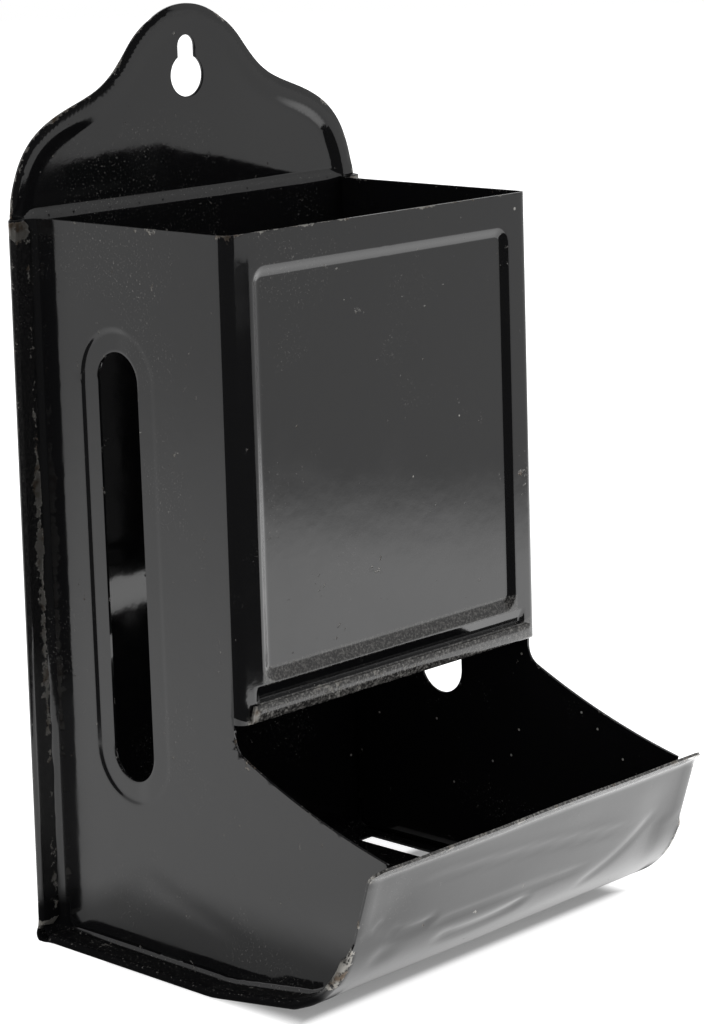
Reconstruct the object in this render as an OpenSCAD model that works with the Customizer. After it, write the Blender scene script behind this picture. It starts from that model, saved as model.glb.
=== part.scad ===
// Wall-hung match dispenser in black enamelled tin.
// Two stampings: a long strip that is the domed back, the floor and the scoop,
// and a U-shaped housing whose outward flanges lie in the strip's folded edges.

/* [Sheet] */
// Thickness of the tinplate
sheet_t = 0.5; // [0.3:0.05:0.7]
// Slack between the layers of a folded seam
seam_gap = 0.05; // [0.03:0.01:0.1]
// Width of the strip from folded edge to folded edge
strip_w = 84.8; // [84:0.2:96]

/* [Housing] */
// Width over the two side walls
body_w = 74; // [66:0.5:75]
// From the wall to the face of the front panel
body_d = 49.7; // [44:0.1:60]
// Height of the open top
body_top = 127.5; // [120:0.5:150]
// Height of the front panel's lower edge
mouth_z = 46; // [44:0.5:52]
// Outer radius of the upright front corners
corner_r = 2; // [1.5:0.25:4]
// Radius of the bend from a side wall to its rear flange
rear_bend_r = 2; // [1:0.25:2.5]
// Distance from the lower rear corner at which the folded seams start
notch = 2.6; // [2.6:0.2:8]

/* [Front panel] */
// From the side wall to the pressed panel
panel_side = 5.3; // [4:0.1:8]
// From the top edge to the pressed panel
panel_top = 5.5; // [4:0.1:10]
// From the lower edge to the pressed panel
panel_low = 6; // [5.8:0.1:10]
// Depth of the pressed panel
panel_depth = 0.7; // [0.3:0.1:1.2]
// Width of the slope round the pressed panel
panel_slope = 2; // [1:0.1:3]
// Corner radius of the pressed panel
panel_r = 3.5; // [3.2:0.1:6]
// Height of the hem folded outward along the lower edge
front_hem_h = 3; // [2:0.1:3]
// Height of the groove pressed between that hem and the panel
groove_h = 2; // [1.6:0.1:2.2]
// Depth of that groove
groove_depth = 0.45; // [0.2:0.05:0.6]
// Width of the slopes of that groove
groove_slope = 0.8; // [0.5:0.05:0.8]
// The flat left standing between groove and panel
groove_land = 0.5; // [0.3:0.1:0.6]

/* [Side slots] */
// Width of each slot
slot_w = 10.2; // [8:0.1:14]
// Height of the slot's lower end
slot_low = 31.5; // [26:0.5:40]
// Height of the slot's upper end
slot_high = 106; // [90:0.5:112]
// From the wall to the left slot's centre line
slot_reach = 22; // [21:0.5:27]
// From the wall to the right slot's centre line
slot_reach_right = 26; // [21:0.5:27]
// Width of the pressed border round the slot
slot_border = 4.5; // [3:0.1:6]
// Depth of the pressed border
slot_depth = 0.7; // [0.3:0.1:1]
// Width of the slope at the edge of the pressed border
slot_slope = 1.2; // [0.6:0.1:2]

/* [Domed head] */
// Height of the top of the dome
head_top = 162.4; // [156:0.2:190]
// Radius of the dome
dome_r = 14.5; // [12:0.5:17]
// Radius of the shoulders
shoulder_r = 16.5; // [14:0.5:19]
// Radius of the hollow between dome and shoulder
hollow_r = 30; // [24:1:40]
// How far the shoulders' centres lie above the open top
shoulder_rise = 0.7; // [0:0.1:2]
// Width of the rim left standing round the pressed field
rim_w = 2.7; // [2.5:0.1:4]
// Width of the slope between rim and field
rim_slope = 2; // [0.8:0.1:2.2]
// Depth of the pressed field
head_depth = 0.9; // [0.5:0.1:1.4]
// From the open top to the field's lower edge
field_rise = 0.2; // [0.2:0.1:3]

/* [Keyhole] */
// Radius of the round part
key_r = 3.85; // [3:0.05:5]
// Height of its centre below the top of the dome
key_drop = 13; // [11:0.5:16]
// Radius of the hanging slot
key_slot_r = 2; // [1.5:0.1:2.5]
// From the round part's centre to the hanging slot's centre
key_rise = 5.3; // [4:0.1:6]

/* [Scoop] */
// Length of the flat floor
floor_l = 43; // [38:1:50]
// Radius where the floor starts to climb
knee_r = 20; // [12:1:30]
// Slope of the climbing floor
ramp_a = 8; // [4:1:12]
// Length of the climbing floor
ramp_l = 17.3; // [12:0.1:24]
// Radius of the scoop's curve
scoop_r = 18; // [15:0.5:22]
// Slope of the scoop's front
front_a = 72; // [60:1:80]
// Length of the flat stretch above the curve
front_l = 12.6; // [8:0.1:14]
// Radius of the bend into the lip
lip_r = 3; // [2:0.5:5]
// How far the lip turns outward
lip_a = 34; // [15:1:45]
// Length of the lip past its bend
lip_l = 2; // [1:0.1:3]
// Width of the slit in the floor beside one side wall
slit_w = 3.8; // [1:0.1:5]
// Length of that slit
slit_l = 22; // [10:1:30]
// From the wall to the slit's near end
slit_reach = 8; // [7.5:0.5:12]
// From the side wall's face to the slit
slit_in = 2.2; // [1:0.1:5]
// Height of a cheek's edge below the front panel
cheek_back_z = 41.6; // [36:0.2:43]
// Height of a cheek's tip behind the lip
cheek_tip_z = 29.7; // [27:0.1:32]
// Radius of a cheek's hollow edge
cheek_r = 150; // [100:5:400]
// Radius in the corner below the front panel
cheek_corner_r = 3.5; // [2:0.5:6]

/* [Hidden] */
enamel = [0.055, 0.055, 0.06];
enamel_lit = [0.09, 0.09, 0.1];
$fn = 64;
over = 1;
// A bend stands this much proud of the straights beside it, so that they meet cleanly
bleed = 0.004;

// Layers of the seam, counted inward from the strip's outer face
flange_n = sheet_t + seam_gap;
hem_n = flange_n + sheet_t + seam_gap;
seam_n = hem_n + sheet_t;

half_strip = strip_w / 2;
half_body = body_w / 2;
fold_x = half_strip - sheet_t;
flat_edge = fold_x - seam_gap;
hem_edge = half_body + rear_bend_r;

// The strip's path in forward distance from the wall and height
back_u = head_depth;
heel_r = 2;
floor_u = back_u + heel_r;
knee_u = back_u + floor_l;

function along(p, a, l) = [p[0] + l * cos(a), p[1] + l * sin(a)];
function inward(p, a, n) = [p[0] - n * sin(a), p[1] + n * cos(a)];
function after_arc(p, a0, a1, r) = inward(inward(p, a0, r), a1, -r);

knee_end = after_arc([knee_u, 0], 0, ramp_a, knee_r);
ramp_end = along(knee_end, ramp_a, ramp_l);
scoop_end = after_arc(ramp_end, ramp_a, front_a, scoop_r);
front_end = along(scoop_end, front_a, front_l);
lip_out = front_a - lip_a;
lip_centre = inward(front_end, front_a, -lip_r);
lip_start = inward(lip_centre, lip_out, lip_r);
lip_end = along(lip_start, lip_out, lip_l);

// The frame's origin is under the middle of the depth
wall_y = lip_end[0] / 2;

// Housing planes
rear_u = back_u + flange_n;
side_u = rear_u + sheet_t + rear_bend_r;
bend_u = body_d - corner_r;
seam_u = back_u + notch;

// Head
shoulder_z = body_top + shoulder_rise;
shoulder_x = half_strip - shoulder_r;
dome_z = head_top - dome_r;
field_z = body_top + field_rise;
key_z = head_top - key_drop;

// Centre of the circle that touches dome and shoulder from outside
span = sqrt(pow(shoulder_x, 2) + pow(dome_z - shoulder_z, 2));
span_dir = [shoulder_x / span, (shoulder_z - dome_z) / span];
reach_a = (pow(dome_r + hollow_r, 2) - pow(shoulder_r + hollow_r, 2) + pow(span, 2)) / (2 * span);
reach_b = sqrt(pow(dome_r + hollow_r, 2) - pow(reach_a, 2));
hollow_x = span_dir[0] * reach_a - span_dir[1] * reach_b;
hollow_z = dome_z + span_dir[1] * reach_a + span_dir[0] * reach_b;

module place() {
  translate([0, wall_y, 0]) children();
}

// Draws a side profile, forward distance against height, from x0 to x1
module across(x0, x1) {
  translate([x1, 0, 0])
    rotate([90, 0, -90])
      linear_extrude(x1 - x0) children();
}

module both_sides() {
  children();
  mirror([1, 0, 0]) children();
}

function outward(c, a, l) = [c[0] + l * sin(a), c[1] - l * cos(a)];

// Part of a disc that reaches a little past both ends of a bend
module bend_disc(c, r, a0, a1) {
  far = 3 * r;
  middle = (a0 + a1) / 2;
  intersection() {
    translate(c) circle(r + bleed);
    polygon([
      outward(c, middle, -r / 3),
      outward(c, a0 - 12, far),
      outward(c, middle, 2 * far),
      outward(c, a1 + 12, far)
    ]);
  }
}

heel_c = [floor_u, heel_r];
knee_c = inward([knee_u, 0], 0, knee_r);
scoop_c = inward(ramp_end, ramp_a, scoop_r);

// Everything inside the strip at depth n from its outer face; extra widens the open ends
module inside(n, extra) {
  far = 30;
  lip_tip = inward(along(lip_end, lip_out, extra), lip_out, n);
  lip_far = inward(lip_tip, lip_out, far);
  difference() {
    union() {
      polygon([
        [back_u + n, body_top + extra],
        [back_u + n, heel_r],
        heel_c,
        [floor_u, n],
        [knee_u, n],
        knee_c,
        inward(knee_end, ramp_a, n),
        inward(ramp_end, ramp_a, n),
        scoop_c,
        inward(scoop_end, front_a, n),
        inward(front_end, front_a, n),
        lip_centre,
        inward(lip_start, lip_out, n),
        lip_tip,
        lip_far,
        [lip_far[0], body_top + extra]
      ]);
      bend_disc(heel_c, heel_r - n, -90, 0);
      bend_disc(knee_c, knee_r - n, 0, ramp_a);
      bend_disc(scoop_c, scoop_r - n, ramp_a, front_a);
    }
    translate(lip_centre) circle(lip_r + n + bleed);
  }
}

// One layer of sheet that follows the strip between depths n0 and n1
module layer(n0, n1) {
  difference() {
    inside(n0, 0);
    inside(n1, over);
  }
}

// The stretch of the floor and scoop along which the seam is folded
module seam_window() {
  seam_a = front_a - 3;
  polygon([
    [seam_u, -over],
    outward(scoop_c, 0, 2 * scoop_r),
    outward(scoop_c, seam_a, 2 * scoop_r),
    scoop_c,
    [seam_u, scoop_r]
  ]);
}

module seam_layer(n0, n1) {
  intersection() {
    layer(n0, n1);
    seam_window();
  }
}

// The ogee outline of the head, drawn above the open top
module head_outline() {
  translate([0, dome_z]) circle(dome_r);
  for (s = [-1, 1]) {
    intersection() {
      translate([s * shoulder_x, shoulder_z]) circle(shoulder_r);
      translate([-half_strip, body_top]) square([strip_w, head_top]);
    }
    difference() {
      polygon([[0, dome_z], [s * hollow_x, hollow_z], [s * shoulder_x, shoulder_z]]);
      translate([s * hollow_x, hollow_z]) circle(hollow_r);
    }
  }
  polygon([[0, dome_z], [shoulder_x, shoulder_z], [shoulder_x, body_top],
           [-shoulder_x, body_top], [-shoulder_x, shoulder_z]]);
}

// Body of the pressed field: as wide as the rim leaves at its front, narrower behind
module field_body(depth, in0, in1) {
  intersection() {
    union() {
      translate([0, dome_z, 0]) cylinder(depth, dome_r - in0, dome_r - in1);
      for (s = [-1, 1]) {
        translate([s * shoulder_x, shoulder_z, 0]) cylinder(depth, shoulder_r - in0, shoulder_r - in1);
        difference() {
          linear_extrude(depth)
            polygon([[0, dome_z], [s * hollow_x, hollow_z], [s * shoulder_x, shoulder_z]]);
          translate([s * hollow_x, hollow_z, 0]) cylinder(depth, hollow_r + in0, hollow_r + in1);
        }
      }
      linear_extrude(depth)
        polygon([[0, dome_z], [shoulder_x, shoulder_z], [-shoulder_x, shoulder_z]]);
    }
    foot = field_z - rim_w;
    rotate([90, 0, 90])
      translate([0, 0, -half_strip])
        linear_extrude(strip_w)
          polygon([[foot + in0, 0], [head_top, 0], [head_top, depth], [foot + in1, depth]]);
  }
}

// Stands a head shape up, its front at forward distance u
module stand(u) {
  translate([0, -u, 0]) rotate([90, 0, 0]) mirror([0, 0, 1]) children();
}

module keyhole() {
  translate([0, over, key_z]) rotate([90, 0, 0]) cylinder(2 * over + sheet_t, r = key_r);
  translate([0, over, key_z + key_rise]) rotate([90, 0, 0]) cylinder(2 * over + sheet_t, r = key_slot_r);
  translate([-key_slot_r, -over - sheet_t, key_z]) cube([2 * key_slot_r, 2 * over + sheet_t, key_rise]);
}

module strip_hems() {
  across(fold_x, half_strip) seam_layer(sheet_t, seam_n);
  across(hem_edge, fold_x) seam_layer(hem_n, seam_n);
  translate([fold_x, -back_u - seam_n, notch]) cube([sheet_t, seam_n - sheet_t, body_top - notch]);
  translate([hem_edge, -back_u - seam_n, notch]) cube([fold_x - hem_edge, sheet_t, body_top - notch]);
}

module back_and_scoop() {
  color(enamel) place() difference() {
    union() {
      across(-half_strip, half_strip) layer(0, sheet_t);
      both_sides() strip_hems();
      stand(back_u + sheet_t) linear_extrude(sheet_t) head_outline();
      stand(back_u) field_body(head_depth, rim_w, rim_w + rim_slope);
    }
    stand(back_u + sheet_t) field_body(head_depth, rim_w, rim_w + rim_slope);
    stand(back_u + sheet_t + over) field_body(over, rim_w, rim_w);
    keyhole();
    translate([half_body - slit_in - slit_w, -slit_reach - slit_l, -over])
      cube([slit_w, slit_l, 2 * over + sheet_t]);
  }
}

// The hollow edge of a cheek, cut out below the front panel
module cheek_cut() {
  tip = inward(along(scoop_end, front_a, (cheek_tip_z - scoop_end[1]) / sin(front_a)), front_a, flange_n);
  start = [bend_u, cheek_back_z];
  half = norm(tip - start) / 2;
  dir = (tip - start) / (2 * half);
  rise = sqrt(pow(cheek_r, 2) - pow(half, 2));
  c = [(start[0] + tip[0]) / 2 - dir[1] * rise, (start[1] + tip[1]) / 2 + dir[0] * rise];
  s_u = bend_u + cheek_corner_r;
  s = [s_u, c[1] - sqrt(pow(cheek_r - cheek_corner_r, 2) - pow(s_u - c[0], 2))];
  touch = s + (s - c) / norm(s - c) * 2 * cheek_corner_r;
  intersection() {
    translate(c) circle(cheek_r, $fn = 512);
    polygon([s, touch, [2 * body_d, 0], [2 * body_d, 2 * mouth_z], [s_u, 2 * mouth_z]]);
  }
  translate(s) circle(cheek_corner_r + bleed);
  translate([bend_u, s[1]]) square([cheek_corner_r, 2 * mouth_z - s[1]]);
}

// Flat of a side wall with its cheek
module side_profile() {
  front_n = flange_n + seam_gap;
  difference() {
    intersection() {
      inside(flange_n, over);
      polygon([
        [rear_u, -mouth_z],
        inward(along(scoop_end, front_a, -mouth_z), front_a, front_n),
        inward(along(scoop_end, front_a, mouth_z / 2), front_a, front_n),
        [bend_u, mouth_z],
        [bend_u, body_top],
        [side_u, body_top],
        [side_u, notch],
        [rear_u, notch]
      ]);
    }
    cheek_cut();
  }
}

module quarter_ring(r, h) {
  linear_extrude(h) intersection() {
    difference() {
      circle(r + sheet_t);
      circle(r);
    }
    square(r + sheet_t);
  }
}

module side_wall() {
  across(half_body - sheet_t, half_body) side_profile();
  // rear bend and rear flange
  translate([half_body + rear_bend_r, -side_u, notch])
    mirror([1, 0, 0]) quarter_ring(rear_bend_r, body_top - notch);
  translate([half_body + rear_bend_r, -rear_u - sheet_t, notch])
    cube([flat_edge - half_body - rear_bend_r, sheet_t, body_top - notch]);
  // lower flange
  across(half_body, flat_edge) seam_layer(flange_n, flange_n + sheet_t);
  // upright front corner
  translate([half_body - corner_r, -bend_u, mouth_z])
    mirror([0, 1, 0]) quarter_ring(corner_r - sheet_t, body_top - mouth_z);
}

// A shallow pan w by h with round corners, narrowed by inset on every side over its depth
module pan(w, h, r, inset, depth) {
  across_w = w / 2 - r;
  across_h = h / 2 - r;
  for (x = across_w > 0 ? [-across_w, across_w] : [0], y = across_h > 0 ? [-across_h, across_h] : [0])
    translate([x, y, 0]) cylinder(depth, r, r - inset);
  if (across_h > 0)
    rotate([90, 0, 0])
      translate([0, 0, -across_h])
        linear_extrude(2 * across_h)
          polygon([[-w / 2, 0], [w / 2, 0], [w / 2 - inset, depth], [inset - w / 2, depth]]);
  if (across_w > 0)
    rotate([90, 0, 90])
      translate([0, 0, -across_w])
        linear_extrude(2 * across_w)
          polygon([[-h / 2, 0], [h / 2, 0], [h / 2 - inset, depth], [inset - h / 2, depth]]);
}

// Turns a shape drawn in height and depth so that its depth runs inward from a side wall
module on_side(x, reach) {
  translate([x, -reach, 0]) rotate([90, 0, -90]) children();
}

module slot_pan(inset, depth) {
  w = slot_w + 2 * slot_border;
  h = slot_high - slot_low + 2 * slot_border;
  translate([0, (slot_low + slot_high) / 2, 0]) pan(w, h, w / 2, inset, depth);
}

module slot_hole() {
  depth = 2 * over + slot_depth + sheet_t;
  translate([0, slot_low + slot_w / 2, -over]) cylinder(depth, r = slot_w / 2);
  translate([0, slot_high - slot_w / 2, -over]) cylinder(depth, r = slot_w / 2);
  translate([-slot_w / 2, slot_low + slot_w / 2, -over]) cube([slot_w, slot_high - slot_low - slot_w, depth]);
}

// The back of a slot's pressed border, which stands inside the wall
module slot_boss(reach) {
  on_side(half_body - sheet_t, reach) slot_pan(slot_slope, slot_depth);
}

// The hollow of a slot's pressed border with the slot through it
module slot_hollow(reach) {
  on_side(half_body, reach) slot_pan(slot_slope, slot_depth);
  on_side(half_body + over, reach) slot_pan(0, over);
  on_side(half_body, reach) slot_hole();
}

panel_w = body_w - 2 * panel_side;
panel_h = body_top - mouth_z - panel_top - panel_low;
panel_z = mouth_z + panel_low + panel_h / 2;

// The front's pressed panel, its widest side at forward distance u
module panel_pan(inset, depth, u) {
  translate([0, -u, panel_z]) rotate([90, 0, 0]) mirror([0, 0, 1])
    pan(panel_w, panel_h, panel_r, inset, depth);
}

// The groove between hem and panel, its widest side at forward distance u
module groove_pan(inset, depth, u) {
  centre = mouth_z + panel_low - groove_land - groove_h / 2;
  translate([0, -u, centre]) rotate([90, 0, 0]) mirror([0, 0, 1])
    pan(panel_w, groove_h, groove_h / 2, inset, depth);
}

// The lower edge of the front, folded outward and up into a flat hem
module front_hem_profile() {
  fold = sheet_t + seam_gap / 2;
  intersection() {
    difference() {
      translate([body_d + seam_gap / 2, mouth_z + fold]) circle(fold);
      translate([body_d + seam_gap / 2, mouth_z + fold]) circle(seam_gap / 2);
    }
    translate([body_d - sheet_t, mouth_z]) square([2 * fold, fold]);
  }
  translate([body_d + seam_gap, mouth_z + fold]) square([sheet_t, front_hem_h - fold]);
  translate([body_d - sheet_t, mouth_z + fold]) square([sheet_t, front_hem_h - fold]);
}

module front_wall() {
  flat = half_body - corner_r;
  difference() {
    union() {
      translate([-flat, -body_d, mouth_z + front_hem_h])
        cube([2 * flat, sheet_t, body_top - mouth_z - front_hem_h]);
      panel_pan(panel_slope, panel_depth, body_d - sheet_t);
      groove_pan(groove_slope, groove_depth, body_d - sheet_t);
    }
    panel_pan(panel_slope, panel_depth, body_d);
    panel_pan(0, over, body_d + over);
    groove_pan(groove_slope, groove_depth, body_d);
    groove_pan(0, over, body_d + over);
  }
  across(-flat, flat) front_hem_profile();
}

module housing() {
  color(enamel_lit) place() difference() {
    union() {
      front_wall();
      both_sides() side_wall();
      slot_boss(slot_reach_right);
      mirror([1, 0, 0]) slot_boss(slot_reach);
    }
    slot_hollow(slot_reach_right);
    mirror([1, 0, 0]) slot_hollow(slot_reach);
  }
}

back_and_scoop();
housing();
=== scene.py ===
import math
from functools import partialmethod

import bmesh
import bpy
import numpy as np
from mathutils import Matrix, Vector, noise
from mathutils.geometry import delaunay_2d_cdt


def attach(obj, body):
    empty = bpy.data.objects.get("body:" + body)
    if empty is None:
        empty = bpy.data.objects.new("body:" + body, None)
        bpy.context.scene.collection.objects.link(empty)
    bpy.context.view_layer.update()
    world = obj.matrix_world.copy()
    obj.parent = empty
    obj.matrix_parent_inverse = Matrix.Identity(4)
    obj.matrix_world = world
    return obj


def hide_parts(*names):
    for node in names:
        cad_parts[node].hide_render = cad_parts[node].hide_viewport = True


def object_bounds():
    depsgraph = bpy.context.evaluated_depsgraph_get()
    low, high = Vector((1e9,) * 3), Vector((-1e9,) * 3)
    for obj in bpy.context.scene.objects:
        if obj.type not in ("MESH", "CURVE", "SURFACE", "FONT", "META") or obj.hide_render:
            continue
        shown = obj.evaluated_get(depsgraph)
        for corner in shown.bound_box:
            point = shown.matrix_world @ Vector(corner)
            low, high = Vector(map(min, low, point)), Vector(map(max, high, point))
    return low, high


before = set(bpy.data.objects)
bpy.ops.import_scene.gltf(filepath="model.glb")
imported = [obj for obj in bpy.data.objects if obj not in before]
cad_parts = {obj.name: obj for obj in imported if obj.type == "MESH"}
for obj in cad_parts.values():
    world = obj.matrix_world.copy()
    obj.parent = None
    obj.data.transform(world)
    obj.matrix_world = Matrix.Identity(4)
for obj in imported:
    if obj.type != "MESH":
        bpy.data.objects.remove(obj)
cad_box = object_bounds()
scene = bpy.context.scene

# Sizes in millimetres: forward distances run from the wall, heights from the floor's underside
SHEET = 0.5
GAP = 0.05
# Half widths over the folded edges and the side walls
HALF, BODY = 42.4, 37.0
# The front's distance, heights of the box's top and mouth, radius of its front corners
DEPTH, TOP, MOUTH, CORNER = 49.7, 127.5, 46.0, 2.0
# The row frame's Y at the wall, and the back's distance from it
WALL, BACK = 42.452, 0.9
# The strip's profile: radii, angles in degrees and lengths
BACK_L, HEEL, FLOOR = 175.0, 2.0, 43.0
KNEE, RAMP_A, RAMP = 20.0, 8.0, 18.2
TOE, TOE_A, TOE_L = 3.0, 14.0, 2.6
SCOOP, FRONT_A, FRONT = 18.0, 72.0, 12.4
LIP, LIP_A, LIP_L = 3.0, 34.0, 2.0
KEY_R, KEY_SLOT, KEY_Z, KEY_RISE = 3.85, 2.0, 149.4, 5.3
SLIT_IN, SLIT_W, SLIT_NEAR, SLIT_L = 2.2, 3.8, 8.0, 22.0
# Where the seam's layers begin, from the strip's outer face
FLANGE_N = SHEET + GAP
HEM_N = FLANGE_N + SHEET + GAP
SEAM_N = HEM_N + SHEET
FOLD = SEAM_N / 2
FOLD_X = HALF - FOLD
NOTCH = 2.6


def seeded(v, scale, seed):
    """Smooth noise from -1 to 1 at a place in millimetres."""
    return noise.noise(Vector(v) * scale + Vector((seed * 17.3, seed * 5.1, seed * 9.7)))


# The strip's path
def step(p, a, l):
    return np.array([p[0] + l * math.cos(a), p[1] + l * math.sin(a)])


def inward(p, a, n):
    """The point n to the left of the direction a, which is the strip's inner side."""
    return np.array([p[0] - n * math.sin(a), p[1] + n * math.cos(a)])


class Path:
    """The strip's outer face in forward distance and height, by length from the lower end of the back."""

    def __init__(self):
        self.parts = []
        p, a, s = np.array([BACK, HEEL + BACK_L]), math.radians(-90), -BACK_L
        for kind, amount, r in (
            ("line", BACK_L, 0),
            ("turn", 90.0, HEEL),
            ("line", FLOOR - HEEL, 0),
            ("turn", RAMP_A, KNEE),
            ("line", RAMP, 0),
            ("turn", TOE_A, TOE),
            ("line", TOE_L, 0),
            ("turn", FRONT_A - RAMP_A - TOE_A, SCOOP),
            ("line", FRONT, 0),
            ("turn", -LIP_A, LIP),
            ("line", LIP_L, 0),
        ):
            if kind == "line":
                self.parts.append((s, s + amount, p, a, 0.0))
                p, s = step(p, a, amount), s + amount
            else:
                turn = math.radians(amount)
                sign = 1 if amount > 0 else -1
                length = abs(turn) * r
                self.parts.append((s, s + length, p, a, sign / r))
                centre = inward(p, a, sign * r)
                a += turn
                p, s = inward(centre, a, -sign * r), s + length
        self.end = s

    def at(self, s):
        """Point and direction at length s."""
        for s0, s1, p, a, k in self.parts:
            if s <= s1 or s1 == self.end:
                break
        if k == 0:
            return step(p, a, s - s0), a
        b = a + (s - s0) * k
        return inward(inward(p, a, 1 / k), b, -1 / k), b


path = Path()
# Lengths at which the floor, the toe, the scoop's curl, its straight front and the lip begin
S_FLOOR, S_TOE, S_SCOOP, S_FRONT, S_LIP = (path.parts[k][0] for k in (2, 5, 7, 8, 9))
S_TOP = -(TOP - HEEL)


def row(x, u, z):
    """Row-frame millimetres from side, forward distance and height."""
    return np.array([x, WALL - u, z])


def aim(x, u, z):
    """Row-frame direction from side, forward and up."""
    return row(x, u, z) - row(0, 0, 0)


# Sheet meshes
class Sheet:
    """Pressed sheet: points laid out flat, each with its place and its thickness direction."""

    def __init__(self):
        self.flat, self.place, self.into, self.edges, self.loops = [], [], [], [], []

    def add(self, flat, place, into):
        self.flat.append((float(flat[0]), float(flat[1])))
        self.place.append(np.array(place, float))
        d = np.array(into, float)
        self.into.append(d / np.linalg.norm(d))
        return len(self.flat) - 1

    def loop(self, ids):
        self.loops.append(list(ids))
        self.edges += [(a, b) for a, b in zip(ids, ids[1:] + ids[:1])]

    def connect(self):
        """Triangles between the points, inside the outline and outside the holes."""
        points = [Vector(p) for p in self.flat]
        v, _, faces, orig, _, _ = delaunay_2d_cdt(points, self.edges, [], 1, 1e-6)
        index = [
            sources[0] if sources else min(range(len(points)), key=lambda i: (points[i] - v[k]).length)
            for k, sources in enumerate(orig)
        ]
        outer = np.array([self.flat[i] for i in self.loops[0]])
        holes = [np.array([self.flat[i] for i in l]) for l in self.loops[1:]]
        tris = np.array([[index[i] for i in f] for f in faces if len(f) == 3])
        mid = np.array(self.flat)[tris].mean(axis=1)
        keep = inside(mid, outer)
        for h in holes:
            keep &= ~inside(mid, h)
        return [tuple(t) for t in tris[keep] if len(set(t)) == 3]


def inside(points, polygon):
    """Which points lie in the polygon."""
    x, y = points[:, 0], points[:, 1]
    found = np.zeros(len(points), bool)
    a = polygon
    b = np.roll(polygon, -1, axis=0)
    for (x0, y0), (x1, y1) in zip(a, b):
        if y0 == y1:
            continue
        cross = (y0 > y) != (y1 > y)
        found ^= cross & (x < (x1 - x0) * (y - y0) / (y1 - y0) + x0)
    return found


def distance(points, line, closed=True):
    """Least distance from each point to a polyline."""
    points = np.atleast_2d(np.asarray(points, float))
    start = np.asarray(line, float)
    end = np.roll(start, -1, axis=0)
    if not closed:
        start, end = start[:-1], end[:-1]
    step_by = end - start
    squared = np.maximum((step_by**2).sum(axis=1), 1e-12)
    best = []
    for block in np.array_split(points, max(1, len(points) // 400)):
        off = block[:, None, :] - start[None]
        t = np.clip((off * step_by[None]).sum(axis=2) / squared[None], 0, 1)
        gap = off - t[:, :, None] * step_by[None]
        best.append(np.sqrt((gap**2).sum(axis=2)).min(axis=1))
    return np.concatenate(best)


def spacing(cell):
    """A test that takes a place only if none taken before is nearer than its gap, at most a cell."""
    near = {}

    def free(q, gap):
        i, j = int(q[0] // cell), int(q[1] // cell)
        for at in [(i + a, j + b) for a in (-1, 0, 1) for b in (-1, 0, 1)]:
            if any(math.dist(w, q) < gap for w in near.get(at, ())):
                return False
        near.setdefault((i, j), []).append(tuple(q))
        return True

    return free


def smooth(t):
    t = min(max(t, 0.0), 1.0)
    return t * t * (3 - 2 * t)


EDGE_BEVEL = 0.1


def build(name, sheets, material, change, wear, dusty):
    """One mesh object from sheets, given as (sheet, mirrored) pairs whose shared edges are welded."""
    bm = bmesh.new()
    faces_all, places, intos = [], [], []
    for sheet, mirrored in sheets:
        base = len(places)
        tris = sheet.connect()
        flip = -1 if mirrored else 1
        for p, d in zip(sheet.place, sheet.into):
            places.append(p * (flip, 1, 1))
            intos.append(d * (flip, 1, 1))
        for t in tris:
            t = tuple(base + i for i in t)
            faces_all.append(t[::-1] if mirrored else t)
    places, intos = np.array(places), np.array(intos)
    # Weld what falls together along a shared edge
    key = {}
    same = []
    for i, p in enumerate(places):
        k = tuple(np.round(p, 3)) + tuple(np.round(intos[i], 1))
        same.append(key.setdefault(k, i))
    used = sorted({same[i] for t in faces_all for i in t})
    number = {j: k for k, j in enumerate(used)}
    faces = [tuple(number[same[i]] for i in t) for t in faces_all]
    faces = [t for t in faces if len(set(t)) == 3]
    places, intos = places[used], intos[used]
    places = places + np.array([change(p, d) for p, d in zip(places, intos)])
    far = places + intos * SHEET
    low, high = (np.array(corner) * 1000 for corner in cad_box)
    places, far = np.clip(places, low, high), np.clip(far, low, high)
    # The side whose normals point against the thickness is the outer one
    a, b, c = (places[[t[k] for t in faces]] for k in range(3))
    normal = np.cross(b - a, c - a)
    facing = (normal * intos[[t[0] for t in faces]]).sum()
    if facing > 0:
        faces = [t[::-1] for t in faces]
    n = len(places)
    verts = [bm.verts.new(p * 0.001) for p in np.vstack([places, far])]
    # Both sides of the sheet, and its rim along the edges that only one triangle has
    shell = [side for t in faces for side in (t, tuple(n + i for i in t[::-1]))]
    edges = dict.fromkeys(e for t in faces for e in zip(t, t[1:] + t[:1]))
    shell += [(j, i, n + i, n + j) for i, j in edges if (j, i) not in edges]
    for ids in shell:
        try:
            bm.faces.new([verts[i] for i in ids])
        except ValueError:
            pass
    bmesh.ops.join_triangles(
        bm,
        faces=[f for f in bm.faces if len(f.verts) == 3],
        angle_face_threshold=math.radians(12),
        angle_shape_threshold=math.radians(25),
    )
    mesh = bpy.data.meshes.new(name)
    bm.to_mesh(mesh)
    bm.free()
    worn = [float(wear(p)) for p in places]
    mesh.attributes.new("wear", "FLOAT", "POINT").data.foreach_set("value", worn + worn)
    clung = [float(dusty(p)) for p in places]
    mesh.attributes.new("dusty", "FLOAT", "POINT").data.foreach_set("value", clung + clung)
    mesh.materials.append(material)
    mesh.shade_smooth()
    ob = bpy.data.objects.new(name, mesh)
    scene.collection.objects.link(ob)
    mod = ob.modifiers.new("edge", "BEVEL")
    mod.width = EDGE_BEVEL * 0.001
    mod.segments = 2
    mod.limit_method = "ANGLE"
    mod.angle_limit = math.radians(60)
    mod = ob.modifiers.new("normals", "WEIGHTED_NORMAL")
    mod.keep_sharp = True
    return ob


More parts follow.
